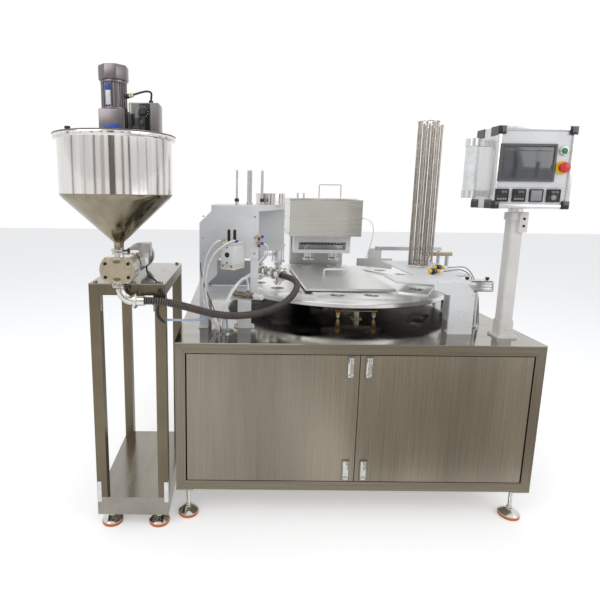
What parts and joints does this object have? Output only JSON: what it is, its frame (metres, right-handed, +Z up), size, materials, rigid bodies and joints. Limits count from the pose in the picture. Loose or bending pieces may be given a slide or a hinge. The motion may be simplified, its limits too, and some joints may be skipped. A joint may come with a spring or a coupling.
{
  "type": "filling and sealing machine",
  "caption": "Rotary cup filling and sealing machine on a steel cabinet, with an indexed turntable, press head, lid magazines, operator panel, and a hopper and lobe pump on a side stand.",
  "frame": {"origin": "middle of the whole outline, on the floor", "axes": "+X to the operator's right, +Y away from the operator, +Z up"},
  "size_m": [1.8819, 1.893, 1.747],
  "materials": {
    "brushed_steel": "brushed stainless sheet",
    "polished_steel": "polished stainless steel",
    "white_paint": "light grey white powder coat",
    "aluminium": "clear anodised",
    "cast_housing": "painted casting",
    "motor_alloy": "grey brown cast alloy",
    "black_plastic": "fine matte",
    "orange_rubber": "moulded rubber",
    "black_hose": "ribbed hose",
    "white_tube": "soft polyurethane tube",
    "sensor_yellow": "moulded",
    "green_plastic": "moulded cap",
    "red_plastic": "moulded mushroom",
    "brass": "machined"
  },
  "bodies": {
    "machine": {"cabinet_frame": "brushed_steel", "cabinet_panels": "brushed_steel", "table_top": "polished_steel", "foot_rubbers": "orange_rubber", "levelling_feet": "polished_steel", "indexer": "cast_housing", "centre_cover": "brushed_steel", "machine_sensors": "sensor_yellow", "filling_frame": "white_paint", "filling_top_cover": "white_paint", "film_magazine": "polished_steel", "air_cylinders": "white_paint", "filling_manifold": "polished_steel", "filling_actuators": "aluminium", "sealing_column": "brushed_steel", "sealing_head": "brushed_steel", "lid_column": "white_paint", "lid_deck": "white_paint", "lid_magazine_rods": "polished_steel", "profile_cylinder": "aluminium", "rear_guides": "aluminium", "panel_post": "white_paint", "stand_frame": "brushed_steel", "stand_plates": "brushed_steel", "pump_body": "polished_steel", "pump_cover": "brushed_steel", "pump_fittings": "polished_steel", "hopper_shell": "polished_steel", "hopper_lid": "polished_steel", "agitator_drive": "motor_alloy", "controller_box": "motor_alloy", "product_hose": "black_hose", "air_tubes_upper": "white_tube", "air_tubes_lower": "white_tube", "stand_cable": "black_hose", "sealing_tube": "white_tube"},
    "left_door": {"left_door": "brushed_steel"},
    "right_door": {"right_door": "brushed_steel"},
    "left_latch_lower": {"left_latch_lower": "polished_steel"},
    "left_latch_upper": {"left_latch_upper": "polished_steel"},
    "right_latch_lower": {"right_latch_lower": "polished_steel"},
    "right_latch_upper": {"right_latch_upper": "polished_steel"},
    "turntable": {"turntable_shaft": "polished_steel", "turntable_disc": "polished_steel", "mould_plates": "polished_steel"},
    "guided_slide": {"guided_slide": "white_paint"},
    "mini_cylinder_rod": {"mini_cylinder_rod": "aluminium"},
    "press": {"heater_frame": "white_paint", "sealing_tools": "brass"},
    "lid_placer": {"lid_placer": "white_paint"},
    "lid_stop": {"lid_stop": "aluminium"},
    "panel_head": {"panel_box": "aluminium", "panel_corner_caps": "black_plastic", "panel_face": "aluminium"},
    "start_button": {"start_button": "green_plastic"},
    "estop_button": {"estop_button": "red_plastic"},
    "hopper_flap": {"hopper_flap": "polished_steel"},
    "agitator": {"agitator": "polished_steel"},
    "speed_knob": {"speed_knob": "black_plastic"},
    "run_switch": {"run_switch": "black_plastic"}
  },
  "joints": [
    {"name": "left_door_hinge", "type": "hinge", "parent": "machine", "child": "left_door", "pos_m": [-0.503, -0.6445, 0.45], "axis": [0, 0, -1], "range_deg": [0, 110]},
    {"name": "right_door_hinge", "type": "hinge", "parent": "machine", "child": "right_door", "pos_m": [0.837, -0.6445, 0.45], "axis": [0, 0, 1], "range_deg": [0, 110]},
    {"name": "left_latch_lower_pull", "type": "hinge", "parent": "left_door", "child": "left_latch_lower", "pos_m": [0.131, -0.6555, 0.263], "axis": [-1, 0, 0], "range_deg": [0, 40]},
    {"name": "left_latch_upper_pull", "type": "hinge", "parent": "left_door", "child": "left_latch_upper", "pos_m": [0.131, -0.6555, 0.702], "axis": [-1, 0, 0], "range_deg": [0, 40]},
    {"name": "right_latch_lower_pull", "type": "hinge", "parent": "right_door", "child": "right_latch_lower", "pos_m": [0.203, -0.6555, 0.263], "axis": [-1, 0, 0], "range_deg": [0, 40]},
    {"name": "right_latch_upper_pull", "type": "hinge", "parent": "right_door", "child": "right_latch_upper", "pos_m": [0.203, -0.6555, 0.702], "axis": [-1, 0, 0], "range_deg": [0, 40]},
    {"name": "turntable_index", "type": "hinge", "parent": "machine", "child": "turntable", "pos_m": [0.242, 0.2265, 0.837], "axis": [0, 0, 1], "continuous": true},
    {"name": "guided_cylinder_stroke", "type": "slide", "parent": "machine", "child": "guided_slide", "axis": [0, 0, -1], "range_m": [0, 0.04]},
    {"name": "mini_cylinder_stroke", "type": "slide", "parent": "machine", "child": "mini_cylinder_rod", "axis": [0.8, -0.6, 0], "range_m": [0, 0.035]},
    {"name": "press_stroke", "type": "slide", "parent": "machine", "child": "press", "axis": [0, 0, -1], "range_m": [0, 0.036]},
    {"name": "lid_placer_stroke", "type": "slide", "parent": "machine", "child": "lid_placer", "axis": [0, 0, -1], "range_m": [0, 0.025]},
    {"name": "lid_stop_stroke", "type": "slide", "parent": "machine", "child": "lid_stop", "axis": [-1, 0, 0], "range_m": [0, 0.045]},
    {"name": "panel_swivel", "type": "hinge", "parent": "machine", "child": "panel_head", "pos_m": [0.787, -0.5215, 1.274], "axis": [0, 0, 1], "range_deg": [-60, 60]},
    {"name": "start_button_press", "type": "slide", "parent": "panel_head", "child": "start_button", "axis": [0, 1, 0], "range_m": [0, 0.004], "stiffness_N_per_m": 400},
    {"name": "estop_button_press", "type": "slide", "parent": "panel_head", "child": "estop_button", "axis": [0, 1, 0], "range_m": [0, 0.005], "stiffness_N_per_m": 600},
    {"name": "hopper_flap_hinge", "type": "hinge", "parent": "machine", "child": "hopper_flap", "pos_m": [-0.799, -0.7435, 1.5233], "axis": [0, 1, 0], "range_deg": [0, 60]},
    {"name": "agitator_spin", "type": "hinge", "parent": "machine", "child": "agitator", "pos_m": [-0.738, -0.7435, 1.523], "axis": [0, 0, 1], "continuous": true},
    {"name": "speed_knob_turn", "type": "hinge", "parent": "machine", "child": "speed_knob", "pos_m": [-0.643, -0.7485, 1.601], "axis": [0, -1, 0], "range_deg": [0, 270]},
    {"name": "run_switch_rock", "type": "hinge", "parent": "machine", "child": "run_switch", "pos_m": [-0.643, -0.7485, 1.565], "axis": [1, 0, 0], "range_deg": [-8, 8]}
  ]
}
